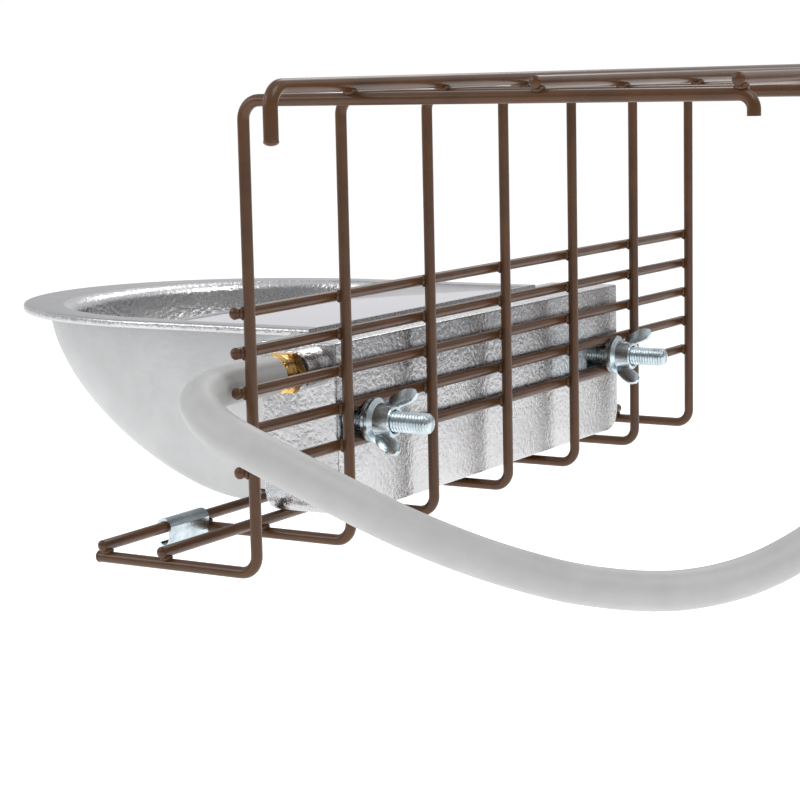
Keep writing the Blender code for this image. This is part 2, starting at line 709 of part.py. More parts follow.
def build_hose_clip(base, neck_r):
    """A bent strip that hangs on the shelf's last rail and ends in an eye round the coupling's neck."""
    rail_place = rack_y + shelf_rail_places[1]
    middle = wire_d / 2 + gap + clip_sheet / 2
    leg_y = base.y - coupling_r / math.cos(math.pi / 6) - gap - clip_sheet / 2
    eye_z = base.z + 2 * MM
    path = [(rail_place - middle, -2 * gap)]
    for i in range(9):
        angle = math.radians(180 * (1 - i / 8))
        path.append((rail_place + middle * math.cos(angle), wire_d / 2 + middle * math.sin(angle)))
    path += [(leg_y, shelf_z - wire_d), (leg_y, eye_z + clip_sheet / 4)]
    outer, inner_side = offset_outline(path, clip_sheet / 2)
    turn = Matrix(((0, 0, 1, base.x), (1, 0, 0, 0), (0, 1, 0, 0), (0, 0, 0, 1)))
    strap = slab("hose_clip", outer + inner_side[::-1], hose_clip_width, turn, zinc)
    eye_r = base.y - leg_y + clip_sheet / 4
    eye = ring("clip_eye", neck_r + gap, eye_r, clip_sheet, (base.x, base.y, eye_z), (0, 0, 1), zinc)
    combine(strap, "UNION", [eye])


build_rack()
build_cage_clip()
build_trough()
build_cover()
build_fixings()
build_valve()
build_hose()
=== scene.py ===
# %% [markdown]
# # A float-valve drinking bowl on its hanging wire rack
# The object is a cast aluminium drinking bowl for rabbits and poultry. A float valve behind the
# bowl keeps the water level, a hose feeds it, and two studs clamp it to a rack of coated wire
# that hangs on a cage wall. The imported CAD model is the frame: every piece made here rides on one
# of its bodies, and most of them take the place of a plain CAD node.

# %% Load the frame
import math

import bmesh
import bpy
from mathutils import Matrix, Vector


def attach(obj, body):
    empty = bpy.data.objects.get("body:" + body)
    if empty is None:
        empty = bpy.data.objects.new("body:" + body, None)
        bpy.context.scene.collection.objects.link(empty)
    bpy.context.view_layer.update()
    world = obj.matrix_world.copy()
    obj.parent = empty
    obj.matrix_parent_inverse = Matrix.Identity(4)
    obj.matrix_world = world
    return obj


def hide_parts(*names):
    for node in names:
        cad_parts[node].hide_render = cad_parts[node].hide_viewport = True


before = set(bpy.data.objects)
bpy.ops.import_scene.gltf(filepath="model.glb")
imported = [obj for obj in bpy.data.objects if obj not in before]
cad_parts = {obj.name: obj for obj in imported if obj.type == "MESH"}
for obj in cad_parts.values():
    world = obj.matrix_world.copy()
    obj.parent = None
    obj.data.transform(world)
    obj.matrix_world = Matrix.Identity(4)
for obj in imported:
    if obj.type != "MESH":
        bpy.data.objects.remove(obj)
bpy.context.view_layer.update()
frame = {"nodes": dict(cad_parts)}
MM = 0.001
BASE = "rack_and_bowl"

# %% [markdown]
# ## Camera, light and floor
# The camera stands behind the rack, near its inlet end, and looks a little down, so that the rack,
# the casting's back and the bowl are all in view. Bright metal shows what surrounds it, so the
# studio is white all round, brighter on the far side than behind the camera, with a few grey
# cards that give the metal darker bands to reflect. The floor glows a little, so it has no horizon.

# %% Camera
camera = bpy.data.objects.new("camera", bpy.data.cameras.new("camera"))
bpy.context.collection.objects.link(camera)
look, right = Vector((-0.8453, -0.5142, -0.1454)), Vector((-0.5169, 0.8558, -0.0214))
up = right.cross(look)
turn = Matrix((right, up, -look)).transposed().to_4x4()
camera.matrix_world = Matrix.Translation((0.8129, 0.3998, 0.0078)) @ turn
camera.data.lens = 102.17
camera.data.sensor_width = 36
bpy.context.scene.camera = camera
bpy.context.scene.view_settings.view_transform = "Standard"

# %% World
world = bpy.data.worlds.new("studio")
bpy.context.scene.world = world
world.use_nodes = True
sky = world.node_tree
shown = sky.nodes["Background"]
shown.inputs["Color"].default_value = (1.0, 1.0, 1.0, 1)
shown.inputs["Strength"].default_value = 1.02
lighting = sky.nodes.new("ShaderNodeBackground")
lighting.inputs["Strength"].default_value = 0.72
facing = sky.nodes.new("ShaderNodeVectorMath")
facing.operation = "DOT_PRODUCT"
facing.inputs[1].default_value = (-0.5, -0.3, 1.0)  # upwards, and away from the camera
sky.links.new(sky.nodes.new("ShaderNodeTexCoord").outputs["Generated"], facing.inputs[0])
ramp = sky.nodes.new("ShaderNodeValToRGB")
ramp.color_ramp.elements[0].position, ramp.color_ramp.elements[0].color = 0.0, (0.4, 0.4, 0.41, 1)
ramp.color_ramp.elements[1].position, ramp.color_ramp.elements[1].color = 0.6, (1.0, 1.0, 1.02, 1)
sky.links.new(facing.outputs["Value"], ramp.inputs["Fac"])
sky.links.new(ramp.outputs["Color"], lighting.inputs["Color"])
choice = sky.nodes.new("ShaderNodeMixShader")
sky.links.new(sky.nodes.new("ShaderNodeLightPath").outputs["Is Camera Ray"], choice.inputs["Fac"])
sky.links.new(lighting.outputs["Background"], choice.inputs[1])
sky.links.new(shown.outputs["Background"], choice.inputs[2])
sky.links.new(choice.outputs["Shader"], sky.nodes["World Output"].inputs["Surface"])


# %% Lamps and cards
def aimed(obj, place, target):
    obj.location = place
    obj.rotation_mode = "QUATERNION"
    obj.rotation_quaternion = (Vector(target) - Vector(place)).to_track_quat("-Z", "Y")
    bpy.context.collection.objects.link(obj)
    return obj


def soft_lamp(name, place, target, size, power):
    data = bpy.data.lights.new(name, "AREA")
    data.shape, data.size, data.size_y = "RECTANGLE", size[0], size[1]
    data.energy = power
    return aimed(bpy.data.objects.new(name, data), place, target)


centre = (0, -0.08, -0.08)
soft_lamp("key_lamp", (0.3, 0.8, 1.1), centre, (0.9, 0.9), 7)
soft_lamp("bowl_lamp", (0.9, -0.9, 0.5), centre, (0.6, 0.6), 3)
soft_lamp("far_lamp", (-0.9, -0.3, 0.9), centre, (0.5, 0.9), 3)


def plain_material(name, colour, roughness):
    made = bpy.data.materials.new(name)
    made.use_nodes = True
    shader = made.node_tree.nodes["Principled BSDF"]
    shader.inputs["Base Color"].default_value = (*colour, 1)
    shader.inputs["Roughness"].default_value = roughness
    return made


def stage_sheet(name, place, target, size, colour, seen):
    form = bmesh.new()
    bmesh.ops.create_grid(form, x_segments=1, y_segments=1, size=0.5)
    bmesh.ops.scale(form, vec=(size[0], size[1], 1), verts=form.verts)
    mesh = bpy.data.meshes.new(name)
    form.to_mesh(mesh)
    form.free()
    mesh.materials.append(plain_material(name, colour, 0.9))
    made = aimed(bpy.data.objects.new(name, mesh), place, target)
    made.visible_camera = seen
    return made


FLOOR_Z = -0.30
floor = stage_sheet("floor", (0, 0, FLOOR_Z), (0, 0, FLOOR_Z - 1), (8, 8), (0.9, 0.9, 0.9), True)
floor_shader = floor.data.materials[0].node_tree.nodes["Principled BSDF"]
floor_shader.inputs["Emission Color"].default_value = (1.0, 1.0, 1.0, 1)
floor_shader.inputs["Emission Strength"].default_value = 0.5
stage_sheet("grey_card_back", (-1.3, 0.95, 0.05), (0, -0.05, -0.1), (0.5, 0.9), (0.12, 0.12, 0.13), False)
stage_sheet("grey_card_side", (1.15, -0.95, -0.02), (0.1, -0.05, -0.12), (0.35, 0.5), (0.25, 0.25, 0.26), False)
stage_sheet("grey_card_top", (-0.4, -0.8, 0.7), (0, -0.15, -0.1), (0.25, 0.7), (0.2, 0.2, 0.2), False)

# %% [markdown]
# ## Effects that several finishes share
# Three effects come back in more than one finish: the pebbled skin that molten metal takes from
# the sand, the slow drift of tone that keeps a surface from looking printed, and fine scratches.
# Each is a node group, built once and given its own values in each material.


# %% Node helpers
def new_group(name, inputs, outputs):
    tree = bpy.data.node_groups.new(name, "ShaderNodeTree")
    for label, value in inputs.items():
        socket = tree.interface.new_socket(label, in_out="INPUT", socket_type="NodeSocketFloat")
        socket.default_value = value
    for label in outputs:
        tree.interface.new_socket(label, in_out="OUTPUT", socket_type="NodeSocketFloat")
    return tree, tree.nodes.new("NodeGroupInput"), tree.nodes.new("NodeGroupOutput")


def add(tree, kind, **settings):
    node = tree.nodes.new(kind)
    for key, value in settings.items():
        setattr(node, key, value)
    return node


def object_coordinates(tree):
    return add(tree, "ShaderNodeTexCoord").outputs["Object"]


def math_node(tree, operation, a, b):
    node = add(tree, "ShaderNodeMath", operation=operation)
    for socket, value in zip(node.inputs, (a, b)):
        if isinstance(value, (int, float)):
            socket.default_value = value
        else:
            tree.links.new(value, socket)
    return node.outputs[0]


def noise_of(tree, coordinates, scale, detail=3.0, roughness=0.5):
    node = add(tree, "ShaderNodeTexNoise")
    tree.links.new(coordinates, node.inputs["Vector"])
    if isinstance(scale, (int, float)):
        node.inputs["Scale"].default_value = scale
    else:
        tree.links.new(scale, node.inputs["Scale"])
    node.inputs["Detail"].default_value = detail
    node.inputs["Roughness"].default_value = roughness
    return node.outputs["Fac"]


# %% Pebbled skin of a sand casting
pebble, given, result = new_group("cast_skin", {"Scale": 300.0, "Ripple": 0.5}, ("Height", "Mottle"))
spot = object_coordinates(pebble)
coarse = noise_of(pebble, spot, given.outputs["Scale"], 4.0, 0.55)
fine = noise_of(pebble, spot, math_node(pebble, "MULTIPLY", given.outputs["Scale"], 3.4), 2.0)
slow = noise_of(pebble, spot, math_node(pebble, "MULTIPLY", given.outputs["Scale"], 0.16), 2.0)
cells = add(pebble, "ShaderNodeTexVoronoi", feature="SMOOTH_F1")
pebble.links.new(spot, cells.inputs["Vector"])
pebble.links.new(given.outputs["Scale"], cells.inputs["Scale"])
bumps = math_node(pebble, "ADD", coarse, math_node(pebble, "MULTIPLY", cells.outputs["Distance"], 0.7))
bumps = math_node(pebble, "ADD", bumps, math_node(pebble, "MULTIPLY", fine, 0.3))
ripples = math_node(pebble, "MULTIPLY", slow, given.outputs["Ripple"])
pebble.links.new(math_node(pebble, "ADD", bumps, ripples), result.inputs["Height"])
pebble.links.new(math_node(pebble, "MULTIPLY", coarse, slow), result.inputs["Mottle"])

# %% Slow drift of tone
drift, given, result = new_group("tone_drift", {"Scale": 20.0, "Low": 0.9, "High": 1.1}, ("Tone",))
cloud = noise_of(drift, object_coordinates(drift), given.outputs["Scale"], 4.0, 0.6)
spread = add(drift, "ShaderNodeMapRange")
drift.links.new(cloud, spread.inputs["Value"])
spread.inputs["From Min"].default_value = 0.3
spread.inputs["From Max"].default_value = 0.7
drift.links.new(given.outputs["Low"], spread.inputs["To Min"])
drift.links.new(given.outputs["High"], spread.inputs["To Max"])
drift.links.new(spread.outputs["Result"], result.inputs["Tone"])

# %% Fine scratches
scratch, given, result = new_group("fine_scratches", {"Scale": 40.0}, ("Height",))
stretch = add(scratch, "ShaderNodeMapping")
scratch.links.new(object_coordinates(scratch), stretch.inputs["Vector"])
stretch.inputs["Scale"].default_value = (1.0, 18.0, 1.0)
stretch.inputs["Rotation"].default_value = (0.1, 0.2, 0.5)
lines = noise_of(scratch, stretch.outputs["Vector"], given.outputs["Scale"], 6.0, 0.7)
scratch.links.new(lines, result.inputs["Height"])


# %% Helpers that put the effects in a material
def use_group(tree, group, **values):
    node = add(tree, "ShaderNodeGroup", node_tree=group)
    for label, value in values.items():
        node.inputs[label].default_value = value
    return node


def toned(tree, colour, tone):
    """The colour, lighter and darker by the tone."""
    mix = add(tree, "ShaderNodeMix", data_type="RGBA", blend_type="MULTIPLY")
    mix.inputs[0].default_value = 1.0
    mix.inputs[6].default_value = (*colour, 1)
    tree.links.new(tone, mix.inputs[7])
    return mix.outputs[2]


def bumped(tree, shader, height, strength, distance):
    bump = add(tree, "ShaderNodeBump")
    bump.inputs["Strength"].default_value = strength
    bump.inputs["Distance"].default_value = distance
    tree.links.new(height, bump.inputs["Height"])
    tree.links.new(bump.outputs["Normal"], shader.inputs["Normal"])


def finish_of(name, colour, roughness, metallic, tone=(20.0, 0.92, 1.08), **constants):
    """A material whose colour drifts a little; returns it with its tree and its shader."""
    made = bpy.data.materials.new(name)
    made.use_nodes = True
    tree = made.node_tree
    shader = tree.nodes["Principled BSDF"]
    shader.inputs["Roughness"].default_value = roughness
    shader.inputs["Metallic"].default_value = metallic
    for label, value in constants.items():
        shader.inputs[label.replace("_", " ")].default_value = value
    clouds = use_group(tree, drift, Scale=tone[0], Low=tone[1], High=tone[2])
    tree.links.new(toned(tree, colour, clouds.outputs["Tone"]), shader.inputs["Base Color"])
    return made, tree, shader


# %% [markdown]
# ## Finishes
# The wire carries a thick glossy brown coat. The casting is plain aluminium: smooth and satin
# where the mould was smooth, pebbled and brighter where it was sand. The cover is polished sheet,
# the fixings are blue zinc, the fitting is turned brass, and the hose is a soft grey plastic.

# %% Coated wire
coated_wire, tree, shader = finish_of(
    "coated_wire", (0.085, 0.036, 0.013), 0.28, 0.0, (60.0, 0.8, 1.25), Specular_IOR_Level=0.35,
    Coat_Weight=0.1, Coat_Roughness=0.12
)
orange_peel = use_group(tree, pebble, Scale=420.0, Ripple=1.0)
bumped(tree, shader, orange_peel.outputs["Height"], 0.18, 0.0002)


# %% Cast aluminium, satin and pebbled
def casting_finish(name, colour, roughness, scale, strength, ripple, spread):
    made, tree, shader = finish_of(name, colour, roughness[0], 1.0, (25.0, 0.9, 1.05))
    skin = use_group(tree, pebble, Scale=scale, Ripple=ripple)
    bumped(tree, shader, skin.outputs["Height"], strength, spread)
    range_node = add(tree, "ShaderNodeMapRange")
    tree.links.new(skin.outputs["Mottle"], range_node.inputs["Value"])
    range_node.inputs["From Min"].default_value = 0.1
    range_node.inputs["From Max"].default_value = 0.45
    range_node.inputs["To Min"].default_value = roughness[0]
    range_node.inputs["To Max"].default_value = roughness[1]
    tree.links.new(range_node.outputs["Result"], shader.inputs["Roughness"])
    return made


cast_satin = casting_finish("cast_satin", (0.50, 0.505, 0.505), (0.34, 0.44), 480.0, 0.16, 1.2, 0.0003)
cast_pebbled = casting_finish("cast_pebbled", (0.62, 0.62, 0.625), (0.2, 0.34), 560.0, 0.5, 1.0, 0.0005)

# %% Polished sheet, zinc and brass
polished_sheet, tree, shader = finish_of("polished_sheet", (0.9, 0.89, 0.93), 0.09, 1.0, (12.0, 0.97, 1.02))
bumped(tree, shader, use_group(tree, scratch, Scale=30.0).outputs["Height"], 0.04, 0.0002)
zinc, tree, shader = finish_of("zinc_plate", (0.62, 0.71, 0.75), 0.24, 1.0, (160.0, 0.75, 1.15))
bumped(tree, shader, use_group(tree, scratch, Scale=90.0).outputs["Height"], 0.12, 0.0002)
brass, tree, shader = finish_of("turned_brass", (0.86, 0.56, 0.2), 0.16, 1.0, (120.0, 0.85, 1.1))
bumped(tree, shader, use_group(tree, scratch, Scale=120.0).outputs["Height"], 0.08, 0.0002)

# %% Rubber, float plastic and hose
rubber, tree, shader = finish_of("black_rubber", (0.03, 0.03, 0.03), 0.6, 0.0, (90.0, 0.8, 1.3))
float_plastic, tree, shader = finish_of("float_plastic", (0.82, 0.82, 0.78), 0.45, 0.0, (40.0, 0.96, 1.03))
hose_plastic, tree, shader = finish_of(
    "hose_plastic", (0.50, 0.505, 0.495), 0.42, 0.0, (70.0, 0.95, 1.05), Specular_IOR_Level=0.4
)
bumped(tree, shader, use_group(tree, pebble, Scale=700.0, Ripple=1.0).outputs["Height"], 0.1, 0.0002)
print("materials:", len(bpy.data.materials))


# %% [markdown]
# ## Helpers for the shapes
# Each helper starts from a bmesh operator's shape. A finished piece is a new object at the
# origin, with its place in its own mesh, so that its pattern stays put.


# %% From a bmesh to a piece
def piece(name, form, finish, nodes=(), body=BASE, sharp=35.0):
    mesh = bpy.data.meshes.new(name)
    form.to_mesh(mesh)
    form.free()
    for one in finish if isinstance(finish, (list, tuple)) else [finish]:
        mesh.materials.append(one)
    mesh.shade_smooth()
    mesh.set_sharp_from_angle(angle=math.radians(sharp))
    made = bpy.data.objects.new(name, mesh)
    bpy.context.collection.objects.link(made)
    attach(made, body)
    if nodes:
        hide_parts(*nodes)
    return made


def merge(*forms):
    """One bmesh out of several; the others are freed."""
    whole = forms[0]
    for other in forms[1:]:
        spare = bpy.data.meshes.new("spare")
        other.to_mesh(spare)
        whole.from_mesh(spare)
        bpy.data.meshes.remove(spare)
        other.free()
    return whole


# %% A mapped grid: a sheet of quads wrapped round a shape
def wrapped(around, along, shape):
    """A closed tube of quads: shape(i, j) gives the point at step i round and step j along."""
    form = bmesh.new()
    bmesh.ops.create_grid(form, x_segments=around, y_segments=along, size=1)
    for vert in form.verts:
        i = round((vert.co.x + 1) / 2 * around)
        j = round((vert.co.y + 1) / 2 * along)
        vert.co = shape(i % around, j)
    bmesh.ops.remove_doubles(form, verts=form.verts, dist=1e-7)
    rims = [edge for edge in form.edges if edge.is_boundary]
    bmesh.ops.holes_fill(form, edges=rims)
    bmesh.ops.recalc_face_normals(form, faces=form.faces)
    return form


# %% Turned shapes, boxes and plates
def upright_to(axis):
    return Vector((0, 0, 1)).rotation_difference(Vector(axis)).to_matrix().to_4x4()


def spun(profile, centre, axis, steps=48):
    """Spins a closed outline of (radius, height), in mm, about an axis through the centre."""
    form = bmesh.new()
    verts = [form.verts.new((r * MM, 0, h * MM)) for r, h in profile]
    edges = [form.edges.new((a, b)) for a, b in zip(verts, verts[1:] + verts[:1])]
    bmesh.ops.spin(
        form, geom=verts + edges, cent=(0, 0, 0), axis=(0, 0, 1), angle=2 * math.pi, steps=steps, use_merge=True
    )
    bmesh.ops.remove_doubles(form, verts=form.verts, dist=1e-6)
    bmesh.ops.transform(form, matrix=Matrix.Translation(centre) @ upright_to(axis), verts=form.verts)
    bmesh.ops.recalc_face_normals(form, faces=form.faces)
    return form


def bevelled(form, width, segments=3, angle=30.0, pick=None):
    edges = [
        edge for edge in form.edges
        if len(edge.link_faces) == 2 and edge.calc_face_angle() > math.radians(angle)
        and (pick is None or pick(edge))
    ]
    bmesh.ops.bevel(
        form, geom=edges, offset=width * MM, segments=segments, profile=0.5, affect="EDGES", material=-1,
        clamp_overlap=True,
    )
    return form


def block(low, high, width=0.0, segments=3):
    """A box between two corners, in mm, with its edges rounded."""
    form = bmesh.new()
    bmesh.ops.create_cube(form, size=1)
    low, high = Vector(low) * MM, Vector(high) * MM
    bmesh.ops.scale(form, vec=high - low, verts=form.verts)
    bmesh.ops.translate(form, vec=(low + high) / 2, verts=form.verts)
    return bevelled(form, width, segments) if width else form


def bar(start, end, radius, sides=48, width=0.0):
    """A round or many-sided bar between two points, in mm."""
    form = bmesh.new()
    start, end = Vector(start) * MM, Vector(end) * MM
    span = end - start
    bmesh.ops.create_cone(
        form, cap_ends=True, segments=sides, radius1=radius * MM, radius2=radius * MM, depth=span.length,
        matrix=Matrix.Translation((start + end) / 2) @ upright_to(span),
    )
    return bevelled(form, width, 2, 40.0) if width else form


def plate(outline, thickness, plane, width=0.4):
    """A flat outline, in mm, given a thickness and rounded edges, then turned by plane."""
    form = bmesh.new()
    face = form.faces.new([form.verts.new((u * MM, v * MM, -thickness * MM / 2)) for u, v in outline])
    raised = bmesh.ops.extrude_face_region(form, geom=[face])
    top = [item for item in raised["geom"] if isinstance(item, bmesh.types.BMVert)]
    bmesh.ops.translate(form, vec=(0, 0, thickness * MM), verts=top)
    bmesh.ops.recalc_face_normals(form, faces=form.faces)
    bevelled(form, width, 2, 50.0)
    bmesh.ops.transform(form, matrix=plane, verts=form.verts)
    return form


# %% Cutting one shape with others
def carved(form, tools, operation="DIFFERENCE"):
    """The form after the tools are cut from it or added to it."""
    made = []
    for index, shape in enumerate([form, *tools]):
        mesh = bpy.data.meshes.new(f"carve_{index}")
        shape.to_mesh(mesh)
        shape.free()
        made.append(bpy.data.objects.new(mesh.name, mesh))
        bpy.context.collection.objects.link(made[-1])
    for tool in made[1:]:
        modifier = made[0].modifiers.new(tool.name, "BOOLEAN")
        modifier.operation = operation
        modifier.object = tool
        modifier.solver = "EXACT"
    bpy.context.view_layer.update()
    graph = bpy.context.evaluated_depsgraph_get()
    result = bmesh.new()
    result.from_mesh(made[0].evaluated_get(graph).to_mesh())
    for one in made:
        mesh = one.data
        bpy.data.objects.remove(one)
        bpy.data.meshes.remove(mesh)
    bmesh.ops.remove_doubles(result, verts=result.verts, dist=2e-6)
    return result


# %% [markdown]
# ## The rack's wires
# Each wire is one bent bar. A curve with a round bevel is the natural way to make it: the path
# is a few corner points, each replaced by an arc as the bending tool leaves it. Where two wires
# cross they are spot welded, and the coat fills the corner between them.

# %% The rack's sizes, in mm
WIRE, HOOK_WIRE = 4.2, 4.9
COLUMNS = [182.4 - 60.8 * i for i in range(7)]
RACK_Y, RAIL_Y = -43.0, -47.5
SHELF_Z, FOOT_Z = -2.4, -165.1
BACK_RAILS = [-129.5 + 13.8 * i for i in range(5)]
FOOT_RAILS = [-108.7, -82.2]
SHELF_RAILS = [69.0, 136.5]
RAIL_HALF = 184.8
FOOT_END, SHELF_END = RACK_Y - 69.0, 142.5
FOOT_RAIL_Z, SHELF_RAIL_Z = FOOT_Z + 4.5, 2.1
BEND, LIP_BEND = 6.5, 4.6
HOOK_X, HOOK_Z, HOOK_DROP = 229.0, HOOK_WIRE / 2, 17.0


# %% Wire helpers
def rounded(points, radius, steps=10):
    """Corner points, in mm, with each inner corner replaced by an arc."""
    path = [Vector(points[0])]
    for before, corner, after in zip(points, points[1:], points[2:]):
        before, corner, after = Vector(before), Vector(corner), Vector(after)
        back, ahead = (before - corner).normalized(), (after - corner).normalized()
        half = back.angle(ahead) / 2
        middle = corner + (back + ahead).normalized() * radius / math.sin(half)
        first = (corner + back * radius / math.tan(half) - middle).normalized()
        last = (corner + ahead * radius / math.tan(half) - middle).normalized()
        path += [middle + first.slerp(last, i / steps) * radius for i in range(steps + 1)]
    return path + [Vector(points[-1])]


def wire(name, path, diameter, finish, nodes, sides=6):
    curve = bpy.data.curves.new(name, "CURVE")
    curve.dimensions = "3D"
    curve.bevel_depth = diameter * MM / 2
    curve.bevel_resolution = sides
    curve.use_fill_caps = True
    spline = curve.splines.new("POLY")
    spline.points.add(len(path) - 1)
    for point, place in zip(spline.points, path):
        point.co = (*(Vector(place) * MM), 1)
    spline.use_smooth = True
    curve.materials.append(finish)
    made = bpy.data.objects.new(name, curve)
    bpy.context.collection.objects.link(made)
    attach(made, BASE)
    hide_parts(*nodes)
    return made


def rack_wire(name, path, diameter=WIRE):
    return wire("coated_" + name, path, diameter, coated_wire, [name])


# %% Upright wires: foot, back, shelf and a short lip, in one bend each
for number, x in enumerate(COLUMNS, start=1):
    bends = rounded(
        [(x, FOOT_END, FOOT_Z), (x, RACK_Y, FOOT_Z), (x, RACK_Y, SHELF_Z), (x, SHELF_END - WIRE / 2, SHELF_Z)],
        BEND,
    )
    lip = rounded([bends[-2], bends[-1], bends[-1] - Vector((0, 0, 6.5))], LIP_BEND)
    rack_wire(f"upright_wire_{number}", bends[:-1] + lip[1:])

# %% Rails and the hook wire
for number, z in enumerate(BACK_RAILS, start=1):
    rack_wire(f"back_rail_{number}", [(-RAIL_HALF, RAIL_Y, z), (RAIL_HALF, RAIL_Y, z)])
for number, y in enumerate(FOOT_RAILS, start=1):
    rack_wire(f"foot_rail_{number}", [(-RAIL_HALF, y, FOOT_RAIL_Z), (RAIL_HALF, y, FOOT_RAIL_Z)])
for number, y in enumerate(SHELF_RAILS, start=1):
    rack_wire(f"shelf_rail_{number}", [(-RAIL_HALF, y, SHELF_RAIL_Z), (RAIL_HALF, y, SHELF_RAIL_Z)])
hook_corners = [
    (-HOOK_X, 0, HOOK_Z - HOOK_DROP), (-HOOK_X, 0, HOOK_Z), (HOOK_X, 0, HOOK_Z), (HOOK_X, 0, HOOK_Z - HOOK_DROP),
]
rack_wire("hook_rail", rounded(hook_corners, BEND), HOOK_WIRE)


# %% Welds at the crossings and beads of coating on the cut ends
def blob(form, place, radii):
    shape = bmesh.ops.create_uvsphere(form, u_segments=16, v_segments=10, radius=1)
    bmesh.ops.scale(form, vec=Vector(radii) * MM, verts=shape["verts"])
    bmesh.ops.translate(form, vec=Vector(place) * MM, verts=shape["verts"])


welds = bmesh.new()
for x in COLUMNS:
    for z in BACK_RAILS:
        blob(welds, (x, (RACK_Y + RAIL_Y) / 2, z), (2.5, 1.35, 2.5))
    for y in FOOT_RAILS:
        blob(welds, (x, y, FOOT_Z + 2.25), (2.5, 2.5, 1.35))
    for y in SHELF_RAILS:
        blob(welds, (x, y, -0.15), (2.5, 2.5, 1.35))
    blob(welds, (x, 0, -0.1), (2.6, 2.6, 1.4))
piece("wire_welds", welds, coated_wire)
beads = bmesh.new()
for side in (-1, 1):
    for z in BACK_RAILS:
        blob(beads, (side * RAIL_HALF, RAIL_Y, z), (1.2, 2.15, 2.15))
    for y in FOOT_RAILS:
        blob(beads, (side * RAIL_HALF, y, FOOT_RAIL_Z), (1.2, 2.15, 2.15))
    for y in SHELF_RAILS:
        blob(beads, (side * RAIL_HALF, y, SHELF_RAIL_Z), (1.2, 2.15, 2.15))
    blob(beads, (side * HOOK_X, 0, HOOK_Z - HOOK_DROP), (2.6, 2.6, 1.3))
for x in COLUMNS:
    blob(beads, (x, FOOT_END, FOOT_Z), (2.25, 1.3, 2.25))
piece("wire_end_beads", beads, coated_wire)

# %% [markdown]
# ## The cast bowl
# The casting is one piece: a deep rounded bowl with a wide rim, and behind it a straight box whose
# ends stick out as ears. The bowl is a sheet of quads wrapped through a stack of D-shaped rings,
# from the belly up the outside, round the rim and down the inside, so every fillet is in the
# stack. The ears are a rounded block joined to it, and the chamber is cut out afterwards.

# %% The casting's sizes, in mm
RIM_Z, RIM_UNDER, BACK_Y = -91.0, -94.3, -49.9
BELLY_Z, BOTTOM_Z, FLOOR_Z_MM = -164.2, -158.2, -159.2
RIM_Y = -162.0
PARTITION_Y = -149.2
EAR_HALF, EAR_Z, EAR_FRONT = 118.3, -92.4, -83.6
BOTTOM_Y, BOTTOM_REACH, BOTTOM_HALF = -119.7, 42.5, 74.2
FLOOR_REACH, FLOOR_HALF = 20.0, 62.0
RIM_BACK = -78.4
INLET, INLET_BORE, BOSS_END = (-58.6, -100.9), 3.9, 134.0
STUD_X, STUD_Z = 102.8, -122.6
RIM_HALF, RIM_REACH = 93.2, 112.0
WALL_HALF, WALL_REACH = 88.7, 95.8
HOLLOW_HALF, HOLLOW_REACH = 80.2, 84.0


def between(a, b, share):
    return a + (b - a) * share


# %% One D-shaped ring, and the stack of them
SIDE, FRONT, BACK = 10, 120, 30
AROUND = 2 * SIDE + FRONT + BACK


def ring_point(ring, i):
    """Point i of a ring (height, ellipse centre, reach, half width, back)."""
    z, middle, reach, half, back = ring
    if i < SIDE:
        x, y = half, between(back, middle, i / SIDE)
    elif i < SIDE + FRONT:
        angle = math.pi * (i - SIDE) / FRONT
        x, y = half * math.cos(angle), middle - reach * math.sin(angle)
    elif i < 2 * SIDE + FRONT:
        x, y = -half, between(middle, back, (i - SIDE - FRONT) / SIDE)
    else:
        x, y = between(-half, half, (i - 2 * SIDE - FRONT) / BACK), back
    return Vector((x, y, z)) * MM


def wall_share(depth):
    """How far the wall still stands out, from 1 at the rim to 0 at the bottom."""
    return (1 - depth**1.69) ** (1 / 1.5)


def outside_ring(depth):
    share = wall_share(depth)
    return (
        between(RIM_UNDER, BELLY_Z, depth), between(BOTTOM_Y, RIM_Y, share),
        between(BOTTOM_REACH, WALL_REACH, share), between(BOTTOM_HALF, WALL_HALF, share), -60.0,
    )


def rim_ring(z, inset):
    return (z, RIM_Y, RIM_REACH - inset, RIM_HALF - inset, RIM_BACK)


def inside_ring(depth, lip_z):
    share = wall_share(depth)
    return (
        between(lip_z, FLOOR_Z_MM, depth), between(PARTITION_Y - 1, RIM_Y, share),
        between(FLOOR_REACH, HOLLOW_REACH, share), between(FLOOR_HALF, HOLLOW_HALF, share), PARTITION_Y,
    )


WALL_RINGS = 26
stack = [outside_ring(math.sin(math.pi / 2 * (1 - i / WALL_RINGS))) for i in range(WALL_RINGS + 1)]
stack += [(RIM_UNDER, RIM_Y, between(WALL_REACH, RIM_REACH - 1, s), between(WALL_HALF, RIM_HALF - 1, s), RIM_BACK)
          for s in (0.15, 0.5, 0.85)]
EDGE = 1.1
for i in range(5):
    angle = math.pi / 2 * i / 4
    stack.append(rim_ring(RIM_UNDER + EDGE * (1 - math.cos(angle)), EDGE * (1 - math.sin(angle))))
for i in range(5):
    angle = math.pi / 2 * i / 4
    stack.append(rim_ring(RIM_Z - EDGE * (1 - math.sin(angle)), EDGE * (1 - math.cos(angle))))
LIP_SIDE, LIP_FRONT, LIP_DROP = 3.0, 8.0, 5.0
for i in range(9):
    turned = math.pi / 2 * i / 8
    out = 1 - math.sin(turned)
    stack.append((
        RIM_Z - LIP_DROP * (1 - math.cos(turned)), RIM_Y, HOLLOW_REACH + LIP_FRONT * out,
        HOLLOW_HALF + LIP_SIDE * out,
        PARTITION_Y + 0.8 * out,
    ))
stack += [inside_ring(math.sin(math.pi / 2 * i / WALL_RINGS), RIM_Z - LIP_DROP) for i in range(1, WALL_RINGS + 1)]
bowl = wrapped(AROUND, len(stack) - 1, lambda i, j: ring_point(stack[j], i))
